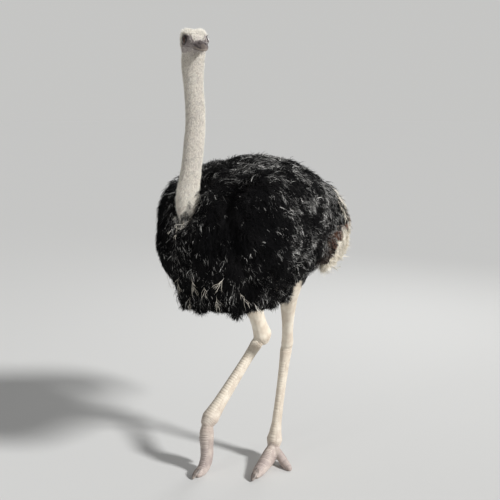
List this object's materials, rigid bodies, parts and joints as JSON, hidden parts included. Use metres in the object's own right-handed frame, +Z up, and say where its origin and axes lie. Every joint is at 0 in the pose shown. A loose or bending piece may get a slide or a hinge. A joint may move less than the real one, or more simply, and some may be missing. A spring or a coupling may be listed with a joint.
{
  "type": "ostrich",
  "caption": "Life-size still model of an adult male ostrich in mid stride, neck upright, head turned to its left, left foot flat, right toe touching down",
  "frame": {"origin": "middle of the bounding box, on the floor that the feet stand on", "axes": "+Z up and the longest extent, the bird walks toward -Y, its left side is +X"},
  "size_m": [0.6206, 1.1096, 2.0192],
  "materials": {
    "plumage": "matte, shaggy black feathers",
    "tail": "matte, loose cream plumes",
    "down": "matte, short whitish down",
    "bill": "satin horn",
    "eye": "wet gloss",
    "hide": "matte, scaled bare skin",
    "claw": "satin horn"
  },
  "bodies": {
    "root": {"trunk": "plumage", "tail": "tail", "neck_lower": "down", "neck_upper": "down", "head": "down", "bill_upper": "bill", "bill_lower": "bill", "eye_left": "eye", "eye_right": "eye", "wing_left": "plumage", "wing_right": "plumage", "drumstick_left": "hide", "tarsus_left": "hide", "toe_left": "hide", "side_toe_left": "hide", "claw_left": "claw", "drumstick_right": "hide", "tarsus_right": "hide", "toe_right": "hide", "side_toe_right": "hide", "claw_right": "claw"}
  },
  "joints": []
}
